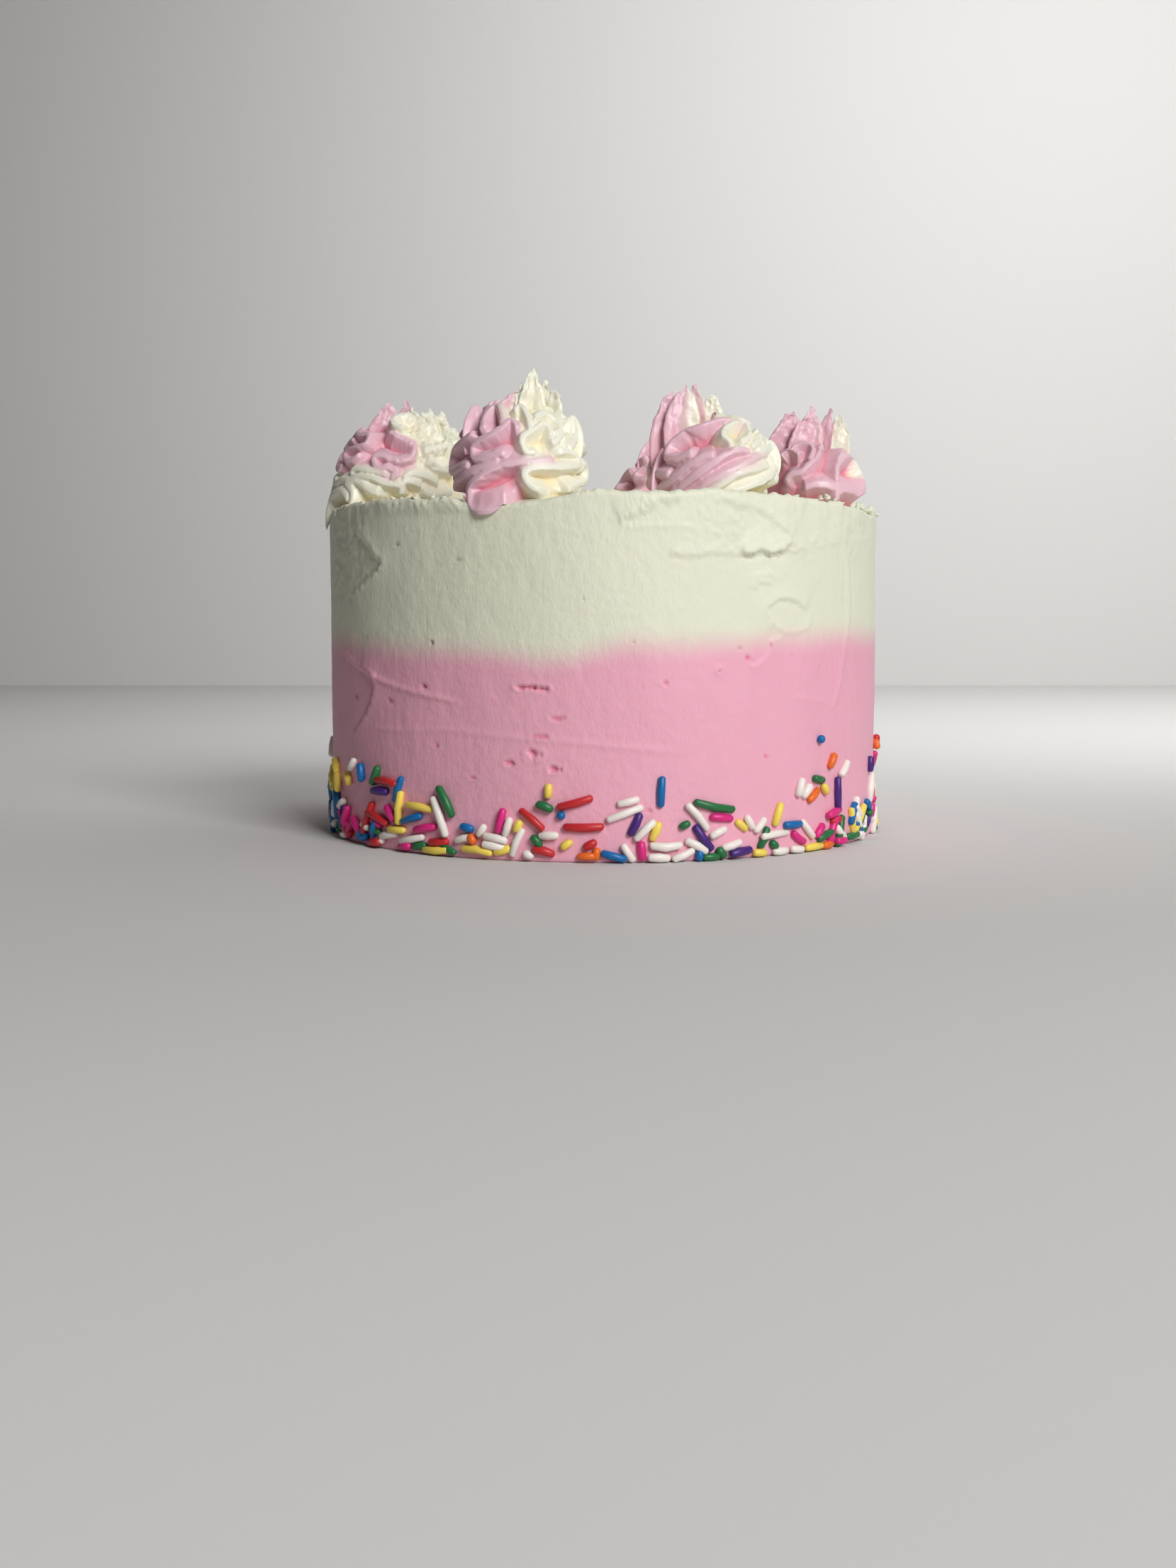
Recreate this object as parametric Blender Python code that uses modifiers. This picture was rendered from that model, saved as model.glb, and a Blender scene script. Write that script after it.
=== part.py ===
"""A round frosted cake with six piped swirls standing in a ring on its top.

Metres, +Z up. The origin is the middle of the cake's flat underside, and -Y is the front.
"""

import math

import bmesh
import bpy
from mathutils import Vector

# Driving dimensions.
CAKE_RADIUS = 0.077  # a six-inch cake with its coat of frosting
CAKE_HEIGHT = 0.088
RIM_ROUNDING = 0.004
FOOT_ROUNDING = 0.001
CAKE_STEPS = 72
ROUNDING_STEPS = 5

RING_RADIUS = 0.0575  # from the cake's axis to the middle of each swirl
SWIRL_GAP = 0.0003  # touching solids are kept this far apart
SWIRL_SIDES = 36
SWIRL_ROWS = 16
SWIRL_FOOT_SHARE = 0.12  # of the rows from pole to pole that make the flat underside
SWIRL_TIERS = 2.6  # turns that the piped rope makes on its way up
SWIRL_RIDGES = 7  # points of the star nozzle
SWIRL_RIDGE_TWIST = 3.2  # radians that a ridge leans round from foot to tip
SWIRL_RIDGE_DEPTH = 0.10  # of the radius
SWIRL_GROOVE_DEPTH = 0.20  # of the radius, between one turn of the rope and the next
SWIRL_GROOVE_SHAPE = 0.7  # under 1 keeps the grooves narrow and the turns broad
SWIRL_FULLNESS = 2.1  # a higher value keeps the outline wide for longer on its way up
SWIRL_SHOULDER = 0.85  # a lower value rounds the outline off more bluntly at its tip
SWIRL_FADING = 4  # a higher value carries the relief closer to the tip
POLE_TOLERANCE = 1e-6  # a point this near a pole of the sphere lies on the swirl's axis

# One entry for each swirl: its place round the ring in degrees from the front, towards +X,
# its width and height, the way its tip leans, and how far it is turned.
SWIRLS = (
    {"at": -85, "width": 0.0370, "height": 0.0315, "lean": (-0.002, 0.000), "turned": 20},
    {"at": -21, "width": 0.0360, "height": 0.0330, "lean": (0.003, 0.001), "turned": 75},
    {"at": 29, "width": 0.0360, "height": 0.0300, "lean": (-0.004, 0.000), "turned": 140},
    {"at": 88, "width": 0.0350, "height": 0.0310, "lean": (0.001, 0.001), "turned": 205},
    {"at": 160, "width": 0.0360, "height": 0.0300, "lean": (0.002, -0.002), "turned": 265},
    {"at": 214, "width": 0.0365, "height": 0.0305, "lean": (-0.001, 0.002), "turned": 330},
)


def clear_scene():
    for obj in list(bpy.data.objects):
        bpy.data.objects.remove(obj, do_unlink=True)


def make_collection(name):
    collection = bpy.data.collections.new(name)
    bpy.context.scene.collection.children.link(collection)
    return collection


def make_material(name, colour, roughness):
    material = bpy.data.materials.new(name)
    material.use_nodes = True
    shader = material.node_tree.nodes["Principled BSDF"]
    shader.inputs["Base Color"].default_value = (*colour, 1.0)
    shader.inputs["Roughness"].default_value = roughness
    shader.inputs["Metallic"].default_value = 0.0
    return material


def arc(centre, radius, start, end, steps):
    """Points of an arc in the profile's plane, from one angle to another in degrees."""
    points = []
    for step in range(steps + 1):
        angle = math.radians(start + (end - start) * step / steps)
        across = centre[0] + radius * math.cos(angle)
        up = centre[1] + radius * math.sin(angle)
        points.append((across, up))
    return points


def cake_profile():
    """Half of the cake's section, from the middle of its top, down its side, to its underside."""
    rim = (CAKE_RADIUS - RIM_ROUNDING, CAKE_HEIGHT - RIM_ROUNDING)
    foot = (CAKE_RADIUS - FOOT_ROUNDING, FOOT_ROUNDING)
    profile = [(0.0, CAKE_HEIGHT), (RING_RADIUS, CAKE_HEIGHT)]
    profile += arc(rim, RIM_ROUNDING, 90, 0, ROUNDING_STEPS)
    profile += arc(foot, FOOT_ROUNDING, 0, -90, ROUNDING_STEPS)
    profile.append((0.0, 0.0))
    return profile


def make_cake(collection, material):
    """The frosted cake: its section turned round the vertical axis."""
    mesh = bpy.data.meshes.new("frosted_cake")
    points = [(across, 0.0, up) for across, up in cake_profile()]
    edges = [(i, i + 1) for i in range(len(points) - 1)]
    mesh.from_pydata(points, edges, [])
    mesh.materials.append(material)
    cake = bpy.data.objects.new("frosted_cake", mesh)
    collection.objects.link(cake)
    screw = cake.modifiers.new("turned", "SCREW")
    screw.axis = "Z"
    screw.angle = math.tau
    screw.steps = CAKE_STEPS
    screw.render_steps = CAKE_STEPS
    screw.use_merge_vertices = True
    screw.merge_threshold = 0.0001
    screw.use_smooth_shade = True
    return cake


def swirl_radius(rise, angle):
    """Radius of a swirl, as a share of its foot's, at a share of its height and an angle.

    The rope climbs as a helix, so its grooves and its ridges run slantwise round the cone.
    """
    envelope = (1.0 - rise ** SWIRL_FULLNESS) ** SWIRL_SHOULDER
    turn = SWIRL_TIERS * rise - angle / math.tau
    groove = 1.0 - abs(math.sin(math.pi * turn)) ** SWIRL_GROOVE_SHAPE
    ridge = math.cos(SWIRL_RIDGES * (angle - SWIRL_RIDGE_TWIST * rise))
    fading = 1.0 - rise ** SWIRL_FADING
    relief = SWIRL_RIDGE_DEPTH * ridge - SWIRL_GROOVE_DEPTH * groove
    return envelope * (1.0 + fading * relief)


def swirl_point(direction, width, height, lean, turned):
    """Where a point of the unit sphere goes on a swirl that stands on the origin."""
    climbed = math.acos(max(-1.0, min(1.0, -direction.z))) / math.pi
    angle = math.atan2(direction.y, direction.x)
    around = angle + math.radians(turned)
    if climbed < SWIRL_FOOT_SHARE:
        rise = 0.0
        share = climbed / SWIRL_FOOT_SHARE
    else:
        rise = (climbed - SWIRL_FOOT_SHARE) / (1.0 - SWIRL_FOOT_SHARE)
        share = 1.0
    radius = share * swirl_radius(rise, around) * width / 2
    if 1.0 - abs(direction.z) < POLE_TOLERANCE:
        radius = 0.0
    bend = rise ** 2
    return Vector((
        radius * math.cos(angle) + lean[0] * bend,
        radius * math.sin(angle) + lean[1] * bend,
        height * rise,
    ))


def make_swirl(name, collection, material, at, width, height, lean, turned):
    """A piped swirl: a sphere of quads drawn out into a grooved and ridged cone."""
    shape = bmesh.new()
    bmesh.ops.create_uvsphere(
        shape, u_segments=SWIRL_SIDES, v_segments=SWIRL_ROWS, radius=1.0
    )
    for vertex in shape.verts:
        vertex.co = swirl_point(vertex.co.normalized(), width, height, lean, turned)
    bmesh.ops.recalc_face_normals(shape, faces=shape.faces)
    mesh = bpy.data.meshes.new(name)
    shape.to_mesh(mesh)
    shape.free()
    mesh.shade_smooth()
    mesh.materials.append(material)
    swirl = bpy.data.objects.new(name, mesh)
    collection.objects.link(swirl)
    place = math.radians(at)
    swirl.location = (
        RING_RADIUS * math.sin(place),
        -RING_RADIUS * math.cos(place),
        CAKE_HEIGHT + SWIRL_GAP,
    )
    return swirl


def main():
    clear_scene()
    collection = make_collection("birthday_cake")
    side_frosting = make_material("side_frosting", (0.83, 0.60, 0.62), 0.5)
    swirl_frosting = make_material("swirl_frosting", (0.86, 0.66, 0.64), 0.45)
    make_cake(collection, side_frosting)
    for number, swirl in enumerate(SWIRLS, start=1):
        make_swirl(f"swirl_{number}", collection, swirl_frosting, **swirl)


main()
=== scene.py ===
import itertools
import math
import random
import bmesh
import bpy
import numpy as np
from mathutils import Matrix, Vector, noise


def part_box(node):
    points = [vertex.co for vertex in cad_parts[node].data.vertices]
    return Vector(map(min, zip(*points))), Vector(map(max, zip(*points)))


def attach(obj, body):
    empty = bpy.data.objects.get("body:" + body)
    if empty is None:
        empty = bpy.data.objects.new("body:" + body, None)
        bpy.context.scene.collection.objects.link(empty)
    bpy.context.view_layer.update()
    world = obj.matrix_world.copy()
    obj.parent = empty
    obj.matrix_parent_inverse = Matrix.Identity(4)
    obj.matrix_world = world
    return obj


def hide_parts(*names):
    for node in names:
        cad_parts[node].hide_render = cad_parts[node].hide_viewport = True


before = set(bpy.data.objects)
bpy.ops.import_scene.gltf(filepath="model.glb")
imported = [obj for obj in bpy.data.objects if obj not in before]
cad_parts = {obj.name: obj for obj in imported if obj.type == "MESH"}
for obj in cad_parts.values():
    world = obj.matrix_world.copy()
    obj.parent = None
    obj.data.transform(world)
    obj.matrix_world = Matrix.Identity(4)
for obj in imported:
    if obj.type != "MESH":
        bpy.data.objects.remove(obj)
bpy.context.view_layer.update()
print("frame loaded")

mm = 0.001
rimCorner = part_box("frosted_cake")[1]
cakeRadius = rimCorner.x / mm  # the looks are worked out in millimetres
cakeHeight = rimCorner.z / mm


def smoothStep(low, high, value):
    share = np.clip((value - low) / (high - low), 0, 1)
    return share * share * (3 - 2 * share)


def bell(distance, width):
    # 1 in the middle and nearly nothing two widths away
    return np.exp(-((distance / width) ** 2))


def fadeEnds(share, width):
    return smoothStep(0, width, share) * smoothStep(0, width, 1 - share)


latticeSize = 64
octaveShrink = 2.1
octaveFade = 0.55
seedStep = 7.3  # how far apart two seeds' patterns lie
lattice = np.random.default_rng(11).uniform(-1, 1, (latticeSize, latticeSize, latticeSize))
noise.seed_set(3)  # otherwise the peaks' ragged tips follow the clock


def softNoise(points):
    # smooth random values from -1 to 1 over a grid one unit wide
    cell = np.floor(points).astype(int)
    part = points - cell
    part = part * part * (3 - 2 * part)
    total = np.zeros(len(points))
    for corner in itertools.product((0, 1), repeat=3):
        weight = np.prod(np.where(corner, part, 1 - part), axis=1)
        spot = (cell + corner) % latticeSize
        total += weight * lattice[spot[:, 0], spot[:, 1], spot[:, 2]]
    return total


def noiseField(points, size, seed, octaves=2, stretch=(1, 1, 1)):
    # layered noise from about -1 to 1, at points in millimetres
    scaled = points / (np.array(stretch) * size) + seed * seedStep
    layers = range(octaves)
    return sum(softNoise(scaled * octaveShrink ** layer) * octaveFade ** layer for layer in layers)


def aroundAxis(radius, turn, up):
    # points by their angle from the front, round the upright axis
    return np.stack([radius * np.sin(turn), -radius * np.cos(turn), up], 1)


def aroundShare(turn, bearing, halfAngle):
    facing = (turn - math.radians(bearing) + math.pi) % math.tau - math.pi
    return bell(facing, math.radians(halfAngle))


def readPoints(mesh):
    flat = np.empty(len(mesh.vertices) * 3, np.float32)
    mesh.vertices.foreach_get("co", flat)
    return flat.reshape(-1, 3).astype(float)


def writePoints(mesh, points):
    mesh.vertices.foreach_set("co", points.astype(np.float32).ravel())
    mesh.update()


def addAttribute(mesh, name, values):
    attribute = mesh.attributes.new(name, "FLOAT", "POINT")
    attribute.data.foreach_set("value", np.asarray(values, np.float32))


def meshFrom(bm, name):
    mesh = bpy.data.meshes.new(name)
    bm.to_mesh(mesh)
    bm.free()
    return mesh


def makeSheet(name, columns, rows):
    # a grid to be wrapped round an axis, with each point's angle in radians and its row counted from the top
    bm = bmesh.new()
    bmesh.ops.create_grid(bm, x_segments=columns, y_segments=rows, size=0.5)
    mesh = meshFrom(bm, name)
    flat = readPoints(mesh)
    return mesh, flat[:, 0] * math.tau, np.rint((0.5 - flat[:, 1]) * rows).astype(int)


mergeDistance = 1e-7  # in the unit that the mesh is in


def closeMesh(mesh, smoothing=0, extra=()):
    bm = bmesh.new()
    bm.from_mesh(mesh)
    bmesh.ops.remove_doubles(bm, verts=bm.verts, dist=mergeDistance)
    for _ in range(smoothing):
        bmesh.ops.smooth_vert(
            bm, verts=bm.verts, factor=0.5, use_axis_x=True, use_axis_y=True, use_axis_z=True,
        )
    for other in extra:
        bm.from_mesh(other)
        bpy.data.meshes.remove(other)
    bmesh.ops.recalc_face_normals(bm, faces=bm.faces)
    bm.to_mesh(mesh)
    bm.free()
    for polygon in mesh.polygons:
        polygon.use_smooth = True
    mesh.update()


def addPiece(name, mesh, material):
    piece = bpy.data.objects.new(name, mesh)
    bpy.context.scene.collection.objects.link(piece)
    mesh.materials.clear()
    mesh.materials.append(material)
    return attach(piece, "root")


def linear(red, green, blue):
    # screen colour, 0 to 255, as the light values that a shader takes
    shares = (red / 255, green / 255, blue / 255)
    return tuple(c / 12.92 if c < 0.04045 else ((c + 0.055) / 1.055) ** 2.4 for c in shares) + (1.0,)


class Wire:
    def __init__(self, paint, socket):
        self.paint = paint
        self.socket = socket

    def math(self, operation, other, swapped=False):
        inputs = {0: other, 1: self} if swapped else {0: self, 1: other}
        return self.paint.node("ShaderNodeMath", {"operation": operation}, inputs)

    def __add__(self, other):
        return self.math("ADD", other)

    def __radd__(self, other):
        return self.math("ADD", other, True)

    def __sub__(self, other):
        return self.math("SUBTRACT", other)

    def __rsub__(self, other):
        return self.math("SUBTRACT", other, True)

    def __mul__(self, other):
        return self.math("MULTIPLY", other)

    def __rmul__(self, other):
        return self.math("MULTIPLY", other, True)


class Paint:
    def __init__(self, name):
        self.material = bpy.data.materials.new(name)
        self.material.use_nodes = True
        self.tree = self.material.node_tree
        self.shader = next(n for n in self.tree.nodes if n.type == "BSDF_PRINCIPLED")

    def node(self, kind, settings=None, inputs=None, output=0):
        node = self.tree.nodes.new(kind)
        for key, value in (settings or {}).items():
            setattr(node, key, value)
        for key, value in (inputs or {}).items():
            self.feed(node.inputs[key], value)
        return Wire(self, node.outputs[output])

    def feed(self, socket, value):
        if isinstance(value, Wire):
            self.tree.links.new(value.socket, socket)
        else:
            socket.default_value = value

    def place(self):
        return self.node("ShaderNodeTexCoord", output="Object")

    def attribute(self, name):
        return self.node("ShaderNodeAttribute", {"attribute_name": name}, output="Fac")

    def noise(self, place, scale, detail, roughness, stretch=(1, 1, 1)):
        spread = self.node("ShaderNodeMapping", {}, {"Vector": place, "Scale": stretch})
        inputs = {"Vector": spread, "Scale": scale, "Detail": detail, "Roughness": roughness}
        return self.node("ShaderNodeTexNoise", {}, inputs)

    def ramp(self, value, low, high):
        settings = {"interpolation_type": "SMOOTHSTEP"}
        return self.node("ShaderNodeMapRange", settings, {"Value": value, "From Min": low, "From Max": high})

    def mix(self, share, first, second):
        return self.node("ShaderNodeMix", {"data_type": "RGBA"}, {0: share, 6: first, 7: second}, output=2)

    def bump(self, height, distance):
        return self.node("ShaderNodeBump", {}, {"Height": height, "Distance": distance, "Strength": 1.0})

    def finish(self, **values):
        for key, value in values.items():
            self.feed(self.shader.inputs[key.replace("_", " ")], value)
        return self.material


sideFinish = {
    "ivory": linear(229, 230, 208),
    "blushIvory": linear(240, 214, 205),
    # torn ivory and torn pink are painted shade for the insides of the pits
    "ivoryPitShade": linear(205, 196, 160),
    "pink": linear(240, 175, 194),
    "cloudPink": linear(229, 163, 184),
    "pinkPitShade": linear(226, 120, 145),
    "blushShare": 0.12,
    "cloudShare": 0.25,
    "pitShadeShare": 0.7,
    "roughness": 0.52,
    "shine": 0.35,
    "glow": 0.12,
    "glowDepth": 0.002,
    "boundary": 0.0505,  # metres above the foot
    "blend": 0.0095,
    "wander": 0.007,
    "smear": 0.002,
    "grain": 0.000264,
    "fineShare": 0.35,
    # patterns: scale, detail, roughness and stretch
    "wanderPattern": (26, 3, 0.55, (1, 1, 0.5)),
    "smearPattern": (140, 3, 0.6, (1, 1, 0.35)),
    "cloudPattern": (60, 2, 0.5, (1, 1, 0.4)),
    "blushPattern": (45, 2, 0.5, (1, 1, 0.6)),
    "finePattern": (1500, 2, 0.5, (1, 1, 0.55)),
    "coarsePattern": (420, 3, 0.6, (1, 1, 0.4)),
}


def makeSideMaterial():
    finish = sideFinish
    paint = Paint("side_frosting")
    place = paint.place()
    height = paint.node("ShaderNodeSeparateXYZ", {}, {0: place}, output=2)
    wander = paint.noise(place, *finish["wanderPattern"]) - 0.5
    smear = paint.noise(place, *finish["smearPattern"]) - 0.5
    level = height + wander * finish["wander"] + smear * finish["smear"] + paint.attribute("tide")
    half = finish["blend"] / 2
    ivoryShare = paint.ramp(level, finish["boundary"] - half, finish["boundary"] + half)
    # the torn share paints shade into the pits, darker and deeper in colour
    torn = paint.attribute("torn") * finish["pitShadeShare"]
    cloud = paint.ramp(paint.noise(place, *finish["cloudPattern"]), 0.35, 0.7) * finish["cloudShare"]
    blush = paint.ramp(paint.noise(place, *finish["blushPattern"]), 0.62, 0.8) * finish["blushShare"]
    pink = paint.mix(torn, paint.mix(cloud, finish["pink"], finish["cloudPink"]), finish["pinkPitShade"])
    ivory = paint.mix(torn, paint.mix(blush, finish["ivory"], finish["blushIvory"]), finish["ivoryPitShade"])
    fine = paint.noise(place, *finish["finePattern"])
    coarse = paint.noise(place, *finish["coarsePattern"])
    skin = fine * finish["fineShare"] + coarse * (1 - finish["fineShare"])
    return paint.finish(
        Base_Color=paint.mix(ivoryShare, pink, ivory),
        Roughness=finish["roughness"],
        Subsurface_Weight=finish["glow"],
        Subsurface_Scale=finish["glowDepth"],
        Specular_IOR_Level=finish["shine"],
        Normal=paint.bump(skin, finish["grain"]),
    )


swirlFinish = {
    # cream and pink are the lit colours on lips and peak tips; the deeper cream and pink after each are
    # painted shade for the valleys and folds between them
    "cream": linear(240, 238, 221),
    "creamPaintedShade": linear(246, 228, 184),
    "pink": linear(231, 192, 204),
    "pinkPaintedShade": linear(230, 146, 162),
    "patchShare": 0.25,
    "roughness": 0.37,
    "shine": 0.5,
    "glow": 0.15,
    "glowDepth": 0.0025,
    "grain": 0.0001,
    "fineShare": 0.4,
    # patterns: scale, detail and roughness
    "patchPattern": (160, 2, 0.5),
    "finePattern": (1300, 2, 0.5),
    "coarsePattern": (480, 2, 0.5),
}


def makeSwirlMaterial():
    finish = swirlFinish
    paint = Paint("swirl_frosting")
    place = paint.place()
    # the lip share paints light and shade: lit colour on lips and peak tips, painted shade in the valleys
    # between them
    lipPaintedLight = paint.attribute("lipPaintedLight")
    patch = paint.noise(place, *finish["patchPattern"]) - 0.5
    share = paint.ramp(paint.attribute("pink") + patch * finish["patchShare"], 0.22, 0.78)
    cream = paint.mix(lipPaintedLight, finish["creamPaintedShade"], finish["cream"])
    pink = paint.mix(lipPaintedLight, finish["pinkPaintedShade"], finish["pink"])
    fine = paint.noise(place, *finish["finePattern"])
    coarse = paint.noise(place, *finish["coarsePattern"])
    skin = fine * finish["fineShare"] + coarse * (1 - finish["fineShare"])
    return paint.finish(
        Base_Color=paint.mix(share, cream, pink),
        Roughness=finish["roughness"],
        Subsurface_Weight=finish["glow"],
        Subsurface_Scale=finish["glowDepth"],
        Specular_IOR_Level=finish["shine"],
        Normal=paint.bump(skin, finish["grain"]),
    )


cake = {
    "columns": 520,
    "frontBias": 0.6,  # how far the columns crowd towards the front
    "sideRows": 160,
    "topRings": 14,
    "topCrowding": 1.6,  # rings stand closer together near the rim
    "footRings": 3,
    "footInset": 0.97,
    "footSteps": 3,
    "rimSteps": 6,
    "rimRounding": 1.4,
    "footRounding": 0.8,
    "rimLipWidth": 3.2,
    "rimLipDepth": 5.5,
    "waver": 0.35,
    "mediumDepth": 0.10,
    "grainDepth": 0.05,
    "fineDepth": 0.012,
    "raggedness": 0.4,
    "toothiness": 0.5,
    # noises: size in millimetres, seed, layers and stretch
    "slow": (26, 1, 2, (1, 1, 1.6)),
    "medium": (7, 2, 3, (1, 1, 1.7)),
    "rough": (1.5, 3, 3),
    "fine": (0.8, 4, 2, (1, 1, 1.3)),
    "ragged": (2.8, 5, 3, (1, 1, 4)),
    "teeth": (1.2, 6, 2, (1, 1, 6)),
    "teethPatches": (9, 8, 2),
    # patches: degrees round where each starts, is full, starts to fade and ends, and mm up the same way
    "roughPatch": (10, 25, 62, 75, 72, 79),
    "leftPatch": (-80, -66, -56, -48, 62, 66),
    "rimPatch": (-50, -46, -30, -24, 84, 86),
}

marking = {
    "reach": 9,  # mm round a mark that it can change
    "wobble": 0.55,
    "step": 1.5,
    "groove": 0.6,
    "broadness": 3.5,
    "crumbWidth": 1.6,
    "crumbliness": 0.5,
    "pitCollar": 0.28,
    "pitDepth": 0.75,
}

# Knife marks: (kind, height or depth, width, points as degrees round from the front and mm up).
knifeMarks = (
    ("edge", 0.55, 1.1, ((-59, 84), (-53, 79.5), (-50, 76), (-47, 74), (-49, 71), (-54, 68), (-61, 64.5))),
    ("ridge", 0.40, 0.6, ((-67, 53), (-62, 49.5), (-55, 46.3), (-49, 44), (-42, 41.6), (-35, 40),
                          (-28, 38.4))),
    ("edge", 0.45, 0.9, ((-56, 47), (-51, 45.5), (-50, 42), (-51, 38), (-54, 33), (-60, 28))),
    ("ridge", 0.18, 0.7, ((-52, 31), (-42, 31), (-30, 31.5), (-15, 30), (0, 28.5), (14, 26.5))),
    ("torn", 0.75, 0.9, ((25, 76.1), (27, 75), (29, 76), (31, 75), (34, 76.5), (37, 78.5))),
    ("edge", 0.35, 0.8, ((20, 86.5), (25, 85.5), (30, 84.5), (34, 81.5), (37, 79))),
    ("torn", 0.4, 0.8, ((2, 81.7), (6, 84.3), (10, 86), (14, 86.5))),
    ("ridge", 0.15, 0.6, ((3, 80.5), (13, 81), (20, 79.5))),
    ("torn", 0.25, 0.7, ((11, 75), (15, 74), (20, 75), (25, 74.5), (33, 75.5), (42, 76.5))),
    ("edge", 0.4, 0.7, ((33, 57.5), (32, 59), (31, 61.4), (34, 64), (38, 63.5), (41, 61))),
    ("ridge", 0.35, 0.6, ((42, 60.5), (41, 57), (36, 55.7), (33, 57.5))),
    ("ridge", 0.25, 0.6, ((28, 69), (31, 70), (34, 69))),
    ("edge", 0.25, 0.6, ((28.5, 66), (29, 67.8), (32, 67.5))),
    ("ridge", 0.5, 0.55, ((54, 76.5), (55, 66.5), (55, 57), (53, 48), (52, 41.5), (50, 36.5))),
    ("ridge", 0.2, 0.6, ((50, 36.5), (44, 38.5), (38, 39.5))),
    ("edge", 0.3, 0.6, ((35, 54.8), (32, 53.5), (31.5, 51), (30, 48.5), (27, 47))),
    ("ridge", 0.15, 0.6, ((44, 60), (46, 52), (43, 45))),
)

# Torn pits: (degrees round, mm up, mm wide, mm tall, mm deep).
pits = (
    (-43, 77.6, 2.2, 1.0, 0.7), (-28, 73.4, 2.4, 1.0, 0.5), (-34, 53.3, 1.6, 1.3, 1.0),
    (-15, 42.4, 4.2, 1.3, 1.1), (-11.5, 42.2, 3.4, 1.5, 1.2), (-36, 42.2, 1.6, 1.2, 0.8),
    (21, 46.5, 1.7, 1.6, 1.1), (25, 51.9, 1.5, 0.9, 0.7), (27, 49.5, 1.2, 1.6, 0.7),
    (32, 52.6, 1.0, 1.4, 0.6), (10.5, 43.5, 2.6, 0.9, 0.6), (-13, 26, 3.6, 2.6, 0.9),
    (-9.5, 22.5, 3.0, 1.6, 0.9), (-11.5, 30.5, 4.5, 1.2, 0.5), (-9, 35, 4.2, 1.6, 0.45),
    (-4, 63.8, 0.9, 0.8, 0.4), (5, 53.3, 0.9, 0.9, 0.4), (-53, 54.3, 1.2, 1.0, 0.6),
    (-58, 39, 2.0, 2.0, 0.7), (-45, 38.5, 1.5, 1.5, 0.6), (-25, 20, 3.0, 1.2, 0.6),
    (-18, 24, 3.2, 1.3, 0.6), (31, 25, 1.6, 1.2, 0.5), (37, 50.3, 1.2, 0.7, 0.5),
    (8, 12.5, 2.2, 1.3, 0.6), (-33, 27.5, 1.5, 1.2, 0.5), (-40, 34.5, 1.3, 1.3, 0.5),
)

# Where the rim of the frosting stands: (degrees round, mm above or below the cake's top).
rimHeights = ((-180, 0.6), (-120, 1.1), (-80, 0.4), (-61, 1.2), (-49, 0.9), (-39, 0.8), (-30, 0.4),
              (-24, -1.2), (-17, -1.9), (-13, -1.4), (-7, 0.4), (-2, 1.6), (4, 1.3), (7, 0.9), (13, 1.1),
              (19, 2.2), (26, 1.4), (36, 1.5), (46, 0.8), (57, 0.0), (68, -0.6), (100, 0.5), (140, 1.3),
              (180, 0.6))

# Where the pink rises to: (degrees round, mm above the usual line).
tideHeights = ((-180, 1), (-90, 3), (-58, 2.8), (-45, 2), (-35, 1.5), (-27, 0.3), (-19, -1.2), (-13, -2),
               (-6, -1.3), (0, 0.8), (7, 2), (13, 2.5), (20, 3), (28, 3.5), (36, 4), (47, 4.6), (62, 5),
               (110, 3), (180, 1))


def cakeProfile():
    # (radius, height) from the middle of the foot to the middle of the top
    rounding = cake["rimRounding"]
    low = cake["footRounding"]
    high = cakeHeight - rounding
    footRings = cake["footRings"]
    points = [(cakeRadius * ring / footRings * cake["footInset"], 0.0) for ring in range(footRings)]
    for step in range(cake["footSteps"] + 1):
        turn = step / cake["footSteps"] * math.pi / 2
        points.append((cakeRadius - low + low * math.sin(turn), low * (1 - math.cos(turn))))
    for row in range(1, cake["sideRows"]):
        points.append((cakeRadius, low + (high - low) * row / cake["sideRows"]))
    for step in range(cake["rimSteps"] + 1):
        turn = step / cake["rimSteps"] * math.pi / 2
        points.append((cakeRadius - rounding * (1 - math.cos(turn)), high + rounding * math.sin(turn)))
    for ring in range(1, cake["topRings"] + 1):
        inwards = (ring / cake["topRings"]) ** cake["topCrowding"]
        points.append(((cakeRadius - rounding) * (1 - inwards), cakeHeight))
    return points


def smoothLine(points, steps=4):
    # a curve through the points, by the Catmull-Rom rule
    if len(points) < 3:
        return points
    ends = [points[0]] + list(points) + [points[-1]]
    curve = []
    for before, start, stop, after in zip(ends, ends[1:], ends[2:], ends[3:]):
        for step in range(steps):
            t = step / steps
            spot = []
            for a, b, c, d in zip(before, start, stop, after):
                bend = (2 * a - 5 * b + 4 * c - d) * t * t + (3 * b - a - 3 * c + d) * t ** 3
                spot.append(0.5 * (2 * b + (c - a) * t + bend))
            curve.append(tuple(spot))
    return curve + [points[-1]]


def distanceTo(line, around, up, scale=1.0):
    # distance, side (+ on the left of the line's direction), place along the line and share above it
    best = np.full(around.shape, 1e6)
    side = np.ones(around.shape)
    over = np.zeros(around.shape)
    share = np.zeros(around.shape)
    total = len(line) - 1
    for step in range(total):
        runA = (line[step + 1][0] - line[step][0]) * scale
        runB = line[step + 1][1] - line[step][1]
        offsetA = (around - line[step][0]) * scale
        offsetB = up - line[step][1]
        along = np.clip((offsetA * runA + offsetB * runB) / (runA ** 2 + runB ** 2 + 1e-9), 0, 1)
        gap = np.hypot(offsetA - along * runA, offsetB - along * runB)
        nearer = gap < best
        best = np.where(nearer, gap, best)
        side = np.where(nearer, np.sign(runA * offsetB - runB * offsetA), side)
        share = np.where(nearer, (step + along) / total, share)
        over = np.where(nearer, (offsetB - along * runB) / (gap + 1e-9), over)
    return best, side, share, over


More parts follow.
